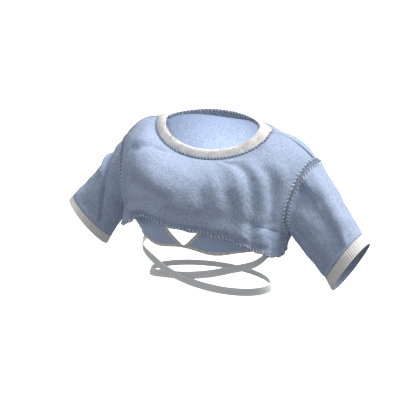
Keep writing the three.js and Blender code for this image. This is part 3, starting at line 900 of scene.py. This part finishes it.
def ribbed(name, middle, count, rows, outward, depth=0.7, thick=2.6, material=None):
    """A ring of rib knit: middle(u, v) with u round the ring, v from seam to rim."""
    nu = count * POINTS_PER_RIB
    u, v = np.meshgrid(np.arange(nu) / nu, np.linspace(0, 1, rows + 1), indexing="ij")
    ring = middle(u, v)
    size = grid_size(ring[::4], ring=True)
    n = towards(normals(ring, ring=True), outward(ring))
    wander = 0.16 * np.sin(2 * np.pi * u * 9 + 1.0) + 0.1 * np.sin(2 * np.pi * u * 23)
    phase = np.abs(np.sin(np.pi * (u * count + wander * 0.4)))
    relief = depth * (phase ** 0.7 - 0.65) * mix(1.0, 0.75, v)
    grid = ring + n * (relief + 0.25 * lumps(ring, 24))[..., None]
    if np.sum(np.cross(grid[1, 1] - grid[0, 1], grid[0, 2] - grid[0, 1]) * n[0, 1]) < 0:
        grid, phase = grid[::-1], phase[::-1]
    # the groove depth on each point is what the rib finish paints its shade from
    piece = cloth(name, grid, thick, material, ring=True, groove=(1 - phase) ** 2, rim=0.8)
    print(name, count, "ribs, flat", [round(s, 3) for s in size])
    return piece, size


def collar_middle(u, v):
    a = 2 * np.pi * u
    p, q = ring_at(NECK_SEAM, a), ring_at(NECK, a)
    far = np.linalg.norm(q - p, axis=-1)
    p = mix(p, q, mix(0.6 / far, 1, v)[..., None])
    p[..., 2] += 5 * np.sin(np.pi * v) * (0.6 + 0.4 * np.cos(a))
    return p


collar, collar_size = ribbed("ribbed_collar", collar_middle, 122, 10, lambda p: xyz(0, 0, 1) + 0 * p,
                             material=rib_white)
declare(collar, ["collar_rib"], "shirt", "rib")
for side in SIDES:
    axis = cuff_frame(side)[4] * 0.5 + cuff_frame(side)[3] * 0.5
    cuff, cuff_size = ribbed("ribbed_cuff_" + side, lambda u, v: cuff_at(side, 2 * np.pi * u, mix(0.02, 1, v)),
                             72, 9, lambda p: p - axis, depth=1.0, material=rib_cuff)
    # faces turned in towards the arm get the darker rib, painted shade inside the cuff
    cuff.data.materials.append(cuff_inside_shade)
    for face in cuff.data.polygons:
        away = np.array(face.center) * 1000 - axis
        if np.dot(face.normal, away) < -0.44 * np.linalg.norm(away):
            face.material_index = 1
    declare(cuff, ["cuff_" + side], side + "_sleeve", "rib")

# %% [markdown]
# ## One stitch, sewn a thousand times
# The overlocker throws a loop of thread over the cut edge every few millimetres.
# One loop is modelled from a small sphere, drawn out long and thin, with
# its ends bent down into the cloth. It has a few dozen faces, because it is then
# copied along every seam, each copy turned to slant across its seam and varied
# a little, from a fixed seed.

# %% The model stitch
bpy.ops.object.select_all(action="DESELECT")
bpy.ops.mesh.primitive_uv_sphere_add(segments=6, ring_count=6, radius=0.5, rotation=(0, np.pi / 2, 0))
stitch = bpy.context.object
bpy.ops.object.transform_apply(rotation=True)
bpy.ops.object.mode_set(mode="EDIT")
bpy.ops.mesh.select_all(action="DESELECT")
bpy.ops.object.mode_set(mode="OBJECT")
for v in stitch.data.vertices:
    v.select = abs(v.co.x) > 0.3
bpy.ops.object.mode_set(mode="EDIT")
bpy.ops.transform.translate(value=(0, 0, -0.55))
bpy.ops.mesh.select_more()
bpy.ops.transform.translate(value=(0, 0, -0.1))
bpy.ops.mesh.select_all(action="SELECT")
bpy.ops.mesh.normals_make_consistent(inside=False)
bpy.ops.object.mode_set(mode="OBJECT")
loop_points = np.array([v.co[:] for v in stitch.data.vertices])
loop_faces = [tuple(p.vertices) for p in stitch.data.polygons]
bpy.data.objects.remove(stitch, do_unlink=True)
print("one stitch has", len(loop_faces), "faces")


# %% Sew a seam
def surface_of(pieces):
    """The skin of some finished pieces, to lay stitches on."""
    points, faces = [], []
    now = bpy.context.evaluated_depsgraph_get()
    for piece in pieces:
        shape = piece.evaluated_get(now)
        mesh = shape.to_mesh()
        faces += [tuple(len(points) + k for k in f.vertices) for f in mesh.polygons]
        points += [piece.matrix_world @ v.co for v in mesh.vertices]
        shape.to_mesh_clear()
    return BVHTree.FromPolygons(points, faces)


def laid_on(skin, point, up, reach=16):
    """Where a stitch in mm rests on the skin, and the way up from there."""
    hit, normal, _, _ = skin.ray_cast(Vector((point + up * reach) / 1000), Vector(-up), 2 * reach / 1000)
    if hit is None:
        return point, up
    normal = np.array(normal) * (1 if normal @ Vector(up) > 0 else -1)
    return np.array(hit) * 1000, unit(normal + 0.5 * up)


LEAN_VARIES, LENGTH_VARIES, LIFT_VARIES = 0.09, 0.12, 0.12         # radians, share, mm


def sew(path, outward, step, long, thick, slant, lift, closed=False, pale_every=2, beside=0.0, skin=None):
    """Points, faces and thread (0 dark, 1 pale) of whip stitches along a path in mm."""
    s = along(np.concatenate([path, path[:1]]) if closed else path)
    count = int(s[-1] / step)
    where = (np.arange(count) + 0.5) * s[-1] / count

    def pick(a):
        a = np.concatenate([a, a[:1]]) if closed else a
        return np.stack([np.interp(where, s, a[:, k]) for k in range(3)], -1)

    t, o, w = (unit(pick(a)) for a in sections(path, outward, closed))
    p = pick(path)
    points, faces, kinds = [], [], []
    for i in range(count):
        at, up, across = p[i] + w[i] * beside, o[i], w[i]
        if skin:
            at, up = laid_on(skin, at, up)
            across = unit(np.cross(t[i], up))
            across = across * np.sign(across @ w[i])
        lean = np.radians(slant) + rng.normal() * LEAN_VARIES
        size = 1 + rng.normal() * LENGTH_VARIES
        reach, side = across * np.cos(lean) + t[i] * np.sin(lean), t[i] * np.cos(lean) - across * np.sin(lean)
        base = len(points) * len(loop_points)
        points.append(at + reach * loop_points[:, :1] * long * size + side * loop_points[:, 1:2] * thick
                      + up * (lift + loop_points[:, 2:] * thick * 1.1 + rng.normal() * LIFT_VARIES))
        faces += [tuple(base + k for k in f) for f in loop_faces]
        kinds += [1 if i % pale_every == 0 else 0] * len(loop_faces)
    return np.concatenate(points), faces, kinds


def join(name, parts, threads):
    """One mesh from several (points, faces, thread number of each face)."""
    points, faces, kinds = [], [], []
    for more, more_faces, more_kinds in parts:
        start = sum(map(len, points))
        faces += [tuple(start + k for k in f) for f in more_faces]
        points.append(more)
        kinds += more_kinds
    piece = make(name, np.concatenate(points), faces, kinds=kinds)
    for m in threads:
        piece.data.materials.append(m)
    return piece


def seam(name, path, outward, node_name, body, section, threads, slant, slot="stitch", closed=False,
         rows=(0.0,), **stitches):
    """A rolled edge with its whip stitches; the threads are the roll's, the dark and the pale one."""
    roll, roll_faces, _ = sweep(path, outward, section, closed)
    parts = [(roll, roll_faces, [0] * len(roll_faces))]
    for beside in rows:
        lean = slant if beside >= 0 else -slant
        loops, loop_list, thread = sew(path, outward, slant=lean, closed=closed, beside=beside, **stitches)
        parts.append((loops, loop_list, [k + 1 for k in thread]))
    piece = join(name, parts, threads)
    settle(piece, body, slot, node_name)
    return piece


print("sewing is ready")

# %% [markdown]
# ## Seams
# The collar's seam is a dark rolled rope with close stitches. The armholes have
# a row of long stitches on each side of the join, which lean towards each other
# and lie on the cloth under them. Cuffs have a fine edge, and the
# shoulder, side and underarm seams are closed from the inside, so little thread
# shows there.

# %% Collar, armholes, shoulders and sides
a = np.linspace(0, 2 * np.pi, 261)[:-1]
neck_line = ring_at(NECK_SEAM, a)
neck_way = ring_at(NECK, a) - neck_line
neck_out = np.cross(np.roll(neck_line, -1, 0) - np.roll(neck_line, 1, 0), neck_way)
neck_out = unit(towards(neck_out, [0, 0, 1]))
slate_set = [thread_slate, thread_slate, thread_pale]
inside_set, inside = [fleece, fleece, thread_mid], dict(step=4.0, long=4.6, thick=1.0, slant=20, lift=0.8)
seam("collar_overlock", neck_line, neck_out, "collar_seam", "shirt", round_section(7.0, 6.0), slate_set,
     step=3.7, long=8.6, thick=1.8, slant=42, closed=True, lift=2.7)
for side in SIDES:
    f = np.linspace(0, 2 * np.pi, 181)[:-1]
    hole = armhole_at(side, f)
    inward = armhole_in(side, f)
    spoke = hole - flip(np.array(ARMHOLE[side]["mid"], float), side)
    out = unit(spoke - inward * np.sum(spoke * inward, -1, keepdims=True))
    seam("armhole_overlock_" + side, hole, out, "armhole_seam_" + side, "shirt", round_section(8.0, 5.6),
         [thread_slate, thread_mid, thread_white], step=4.1, long=9.6, thick=2.4, slant=38, closed=True, lift=0.9,
         rows=(5.0, -5.0), skin=surface_of([shirt_front, shirt_back, sleeves[side]]))
    seam_mid = cuff_frame(side)[4]
    wrist = cuff_at(side, f, 0 * f)
    seam("cuff_overlock_" + side, wrist, wrist - seam_mid, "cuff_seam_" + side, side + "_sleeve",
         round_section(3.6, 3.0), slate_set, step=3.2, long=4.6, thick=1.3, slant=40, closed=True, lift=1.3)
    t = np.linspace(0.035, 0.965, 40)
    top = shoulder_at(side, t)
    seam("shoulder_overlock_" + side, top, xyz(0 * t, 0, 1), "shoulder_seam_" + side, "shirt",
         round_section(12.0, 6.0), [fleece, fleece, fleece], step=4.0, long=5.0, thick=1.0, slant=20, lift=2.2)
    under, low = armhole_at(side, np.array(np.pi)), hem_at(np.array(FACING[side] * np.pi / 2), HEM_BAND / 2)
    t = np.linspace(0.1, 0.95, 24)[:, None]
    seam("side_overlock_" + side, mix(under, low, t), xyz(FACING[side] + 0 * t[:, 0], 0, 0), "side_seam_" + side,
         "shirt", round_section(5.4, 2.8), inside_set, **inside)
    v = np.linspace(0.03, 0.97, 30)
    below = (sleeve_at(side, 0 * v, v) + sleeve_at(side, 0 * v + 1, v)) / 2
    underarm = seam("underarm_overlock_" + side, below, xyz(0 * v, 0, -1), "underarm_seam_" + side, None,
                    round_section(4.6, 2.6), inside_set, **inside)
    follow_arm(underarm)
print("seams sewn")

# %% [markdown]
# ## The raw hem and the neck tape
# At the hem the overlock thread wraps the cut edge itself: pale and mid blue
# loops, close together, on a flattened roll that follows the hem's wave. Inside
# the back of the neck a twill tape covers the seam. It is stitched down along
# both edges with slate thread, and the upper stitches show over the rim.

# %% Hem and tape
a = np.linspace(0, 2 * np.pi, 521)[:-1]
edge = hem_line(a)
hem_out = unit(xyz(edge[:, 0], edge[:, 1] - HEM["mid"], 0))
seam("hem_overlock", edge, hem_out, "hem_band", "shirt", round_section(HEM_BAND, 3.0, 12),
     [thread_mid, thread_mid, thread_white], step=3.9, long=9.2, thick=1.9, slant=36, closed=True, lift=1.5,
     slot="hem")


def tape_at(u, v, inside=3.0):
    a = mix(np.radians(94), np.radians(266), u)
    p, q = ring_at(NECK, a), ring_at(NECK_SEAM, a)
    way = unit(q - p)
    inward = unit(np.cross(ring_at(NECK, a + 0.02) - ring_at(NECK, a - 0.02), way))
    inward = towards(inward, [0, 0, -1])
    return p + way * mix(-0.6, 14, v)[..., None] + inward * inside, inward


u, v = lattice(160, 10)
grid, inward = tape_at(u, v)
tape_size = grid_size(grid)
tape = cloth("neck_tape_twill", grid, 1.0, twill_tape, uv=np.stack([v * 14, u * tape_size[0] * 1000], -1), rim=0.3)
t = np.linspace(0.01, 0.99, 120)
parts = []
for share, long, thick in ((0.02, 8.5, 2.2), (0.95, 6.0, 1.6)):
    run, way_in = tape_at(t, 0 * t + share)
    parts.append(sew(run, way_in, 4.2, long, thick, 30, lift=0.8, pale_every=3))
run, way_in = tape_at(t, 0 * t - 0.05, 0.0)
rope_out = unit(way_in * 0.7 - unit(tape_at(t, 0 * t + 1, 0.0)[0] - run))
rope, rope_faces, _ = sweep(run, rope_out, round_section(6.4, 4.2))
loops, loop_list, thread = sew(run, rope_out, 4.0, 8.4, 2.2, 34, lift=2.0)
parts += [(rope, rope_faces, [0] * len(rope_faces)), (loops, loop_list, [2 * k for k in thread])]
tape_stitches = join("neck_tape_stitches", parts, (thread_slate, thread_mid, thread_pale))
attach(tape_stitches, "shirt")
declare(tape, ["neck_tape"], "shirt", "tape")
print("hem and tape done")

# %% [markdown]
# ## The bralette
# Two triangles of smooth knit, each bound along both long edges, stand on one
# elastic underband and hang from straps sewn under the shoulder seams. The cups
# are moulded, so they are domed sheets with soft edges. The binding is folded
# over the cup's edge, which makes it slightly thicker than the cup.

# %% The body that the cups rest on
CUP = dict(notch_x=3.5, top_in=118, top_out=138, top_z=-96, side_x=139, binding=9, outer=5)


def body_half(z):
    return 143 + 22 * smooth(-240, -195, z) + 8 * smooth(-195, -90, z)


def body_front(z):
    up = z + 240
    return 101 + 8 * smooth(0, 42, up) - 30 * smooth(70, 125, up) - 52 * smooth(90, 215, up)


def on_body(x, z):
    k = np.minimum(0.985, np.abs(x) / body_half(z))
    return xyz(x, -29 + 30 * smooth(-150, -30, z) - body_front(z) * (1 - k ** 2.2) ** (1 / 2.2), z)


def cup_at(side, u, v):
    inner = mix(CUP["notch_x"], CUP["top_in"], v ** 0.92)
    outer = mix(CUP["side_x"], CUP["top_out"], v) + 7 * np.sin(np.pi * v)
    a = np.arcsin(np.minimum(1, (mix(CUP["notch_x"], CUP["side_x"], u) / BAND["half"]) ** 1.1))
    low = band_low(a) + BAND["tall"] + 0.6
    return on_body(FACING[side] * mix(inner, outer, u), mix(low, CUP["top_z"], v))


# %% Cups, bindings and straps
def cup_part(side, u, v, lo, hi):
    return cup_at(side, mix(lo(v), hi(v), u), v)


def width(v):
    return mix(CUP["side_x"] - CUP["notch_x"], CUP["top_out"] - CUP["top_in"], v)


def inner_share(v):
    return np.minimum(0.42, CUP["binding"] / width(v))


def outer_share(v):
    return 1 - np.minimum(0.25, CUP["outer"] / width(v))


for side in SIDES:
    for name, lo, hi, nu, thick, material, replaced, tone in (
            ("cup_fabric_", lambda v: inner_share(v) - 0.4 / width(v), lambda v: outer_share(v) + 0.4 / width(v),
             64, 2.4, microfibre, "cup_", "cup"),
            ("cup_inner_edge_", lambda v: 0 * v, inner_share, 10, 3.0, elastic, "cup_inner_binding_", "binding"),
            ("cup_outer_edge_", outer_share, lambda v: 0 * v + 1, 8, 3.0, elastic, "cup_outer_binding_", "binding")):
        u, v = lattice(nu, 90)
        grid = cup_part(side, u, v, lo, hi)
        size = grid_size(grid)
        n = normals(grid)
        if n[nu // 2, 20, 1] > 0:
            grid, n = grid[::-1], -n[::-1]
        across = np.linalg.norm(np.diff(grid, axis=0), axis=-1).sum(0).mean()
        uv = np.stack([u * across, v * size[1] * 1000], -1)
        piece = cloth(name + side, grid, thick, material, uv=uv, rim=0.9)
        if tone == "cup":
            declare(piece, [replaced + side], "shirt", "cup")
        else:
            settle(piece, "shirt", tone, replaced + side)
    tip = cup_at(side, np.array(0.5), np.array(1.0))
    held = shoulder_at(side, 0.12)
    back = band_at(np.array([FACING[side] * np.radians(138)]), BAND["tall"])[0]
    s = FACING[side]
    knots = np.array([tip + [0, 0.5, 1.8], (s * 134, -36, -48), held - [0, 0, 3.2], (s * 138, 45, -42),
                      (s * 124, 58, -120), (s * 108, 50, -190), back + [0, 0, 0.8]])
    steps = np.concatenate([[0], np.cumsum(np.linalg.norm(np.diff(knots, axis=0), axis=1) ** 0.5)])

    def through(t):
        """The smooth centripetal curve through the knots, at knot values t."""
        ends = np.concatenate([[2 * knots[0] - knots[1]], knots, [2 * knots[-1] - knots[-2]]])
        k = np.concatenate([[steps[0] - (steps[1] - steps[0])], steps, [steps[-1] + (steps[-1] - steps[-2])]])
        out = []
        for x in t:
            i = int(np.clip(np.searchsorted(steps, x, side="right") - 1, 0, len(steps) - 2)) + 1
            p, q = ends[i - 1:i + 3], k[i - 1:i + 3]
            a1, a2, a3 = (mix(p[j], p[j + 1], (x - q[j]) / (q[j + 1] - q[j])) for j in range(3))
            b1, b2 = mix(a1, a2, (x - q[0]) / (q[2] - q[0])), mix(a2, a3, (x - q[1]) / (q[3] - q[1]))
            out.append(mix(b1, b2, (x - q[1]) / (q[2] - q[1])))
        return np.array(out)

    run = through(np.linspace(0, steps[-1], 120))
    outward = xyz((run[:, 0] - s * 128) * 0.25, run[:, 1], np.where(run[:, 2] > -60, (run[:, 2] + 75) * 1.1, 0))
    strip("bra_strap_" + side, run, outward, flat_section(13, 1.8), elastic, "binding", "shoulder_strap_" + side)

a = np.linspace(0, 2 * np.pi, 241)[:-1]
ring = band_at(a, BAND["tall"] / 2)
strip("band_elastic", ring, xyz(ring[:, 0], ring[:, 1] - BAND["mid"], 0), flat_section(BAND["tall"], BAND["thick"]),
      elastic, "binding", "under_band", closed=True)
print("bralette done")

# %% [markdown]
# ## Light and floor
# The garment was lit softly from high on the wearer's left: the shoulder and
# sleeve there glow, and undersides fall to slate. One wide sun does that, with a
# sky that is brighter above than below. The floor is far below and pale, and it
# throws no light back up, because that would fill the shaded undersides. A small
# lamp hidden inside the shirt shows the inside of the back through the neck.

# %% Sun, sky and floor
def light(name, kind, energy, source, **settings):
    """A light that shines from the direction of source."""
    lit = added(name, bpy.data.lights.new(name, kind))
    lit.rotation_euler = source.to_track_quat("Z", "Y").to_euler()
    lit.data.energy = energy
    for key, value in settings.items():
        setattr(lit.data, key, value)
    return lit


light("sun", "SUN", 3.5, Vector((0.46, 0.30, 0.84)), angle=np.radians(25))
lamp_at, lamp_aim = Vector((-0.015, -0.005, -0.16)), Vector((-0.03, 0.11, -0.11))
lamp = light("neck_lamp", "AREA", 0.27, lamp_at - lamp_aim, size=0.12, spread=np.radians(140))
lamp.location = lamp_at
lamp.visible_camera = False

world = bpy.data.worlds.new("sky")
bpy.context.scene.world = world
world.use_nodes = True
tree = world.node_tree
tree.nodes.clear()
way = node(tree, "TexCoord").outputs["Generated"]
height = node(tree, "MapRange", {"Value": node(tree, "SeparateXYZ", {"Vector": way}).outputs["Z"],
                                 "From Min": -0.6, "From Max": 0.8, "To Min": 0.24, "To Max": 0.60})
glow = node(tree, "Background", {"Color": (0.97, 0.98, 1.0, 1.0), "Strength": height.outputs["Result"]})
plain = node(tree, "Background", {"Color": (1.0, 1.0, 1.0, 1.0), "Strength": 1.0})
by_eye = node(tree, "LightPath").outputs["Is Camera Ray"]
seen = node(tree, "MixShader", {0: by_eye, 1: glow.outputs[0], 2: plain.outputs[0]})
node(tree, "OutputWorld", {"Surface": seen.outputs[0]})

bpy.ops.object.select_all(action="DESELECT")
bpy.ops.mesh.primitive_plane_add(size=60, location=(0, 0, -1.2))
floor = bpy.context.object
floor.name = "studio_floor"
paint, tree = new_material("matt_white_studio_paint", Roughness=0.9, Emission_Strength=0.42,
                           Emission_Color=(1, 1, 1, 1))
uneven = node(tree, "TexNoise", {"Vector": node(tree, "TexCoord").outputs["Object"], "Scale": 3.0}).outputs["Fac"]
tree.links.new(blend(tree, uneven, "#F6F6F6", "#F8F8F8"), tree.nodes["Principled BSDF"].inputs["Base Color"])
floor.data.materials.append(paint)
floor.visible_diffuse = False
bpy.context.scene.view_settings.view_transform = "Standard"
print("lit")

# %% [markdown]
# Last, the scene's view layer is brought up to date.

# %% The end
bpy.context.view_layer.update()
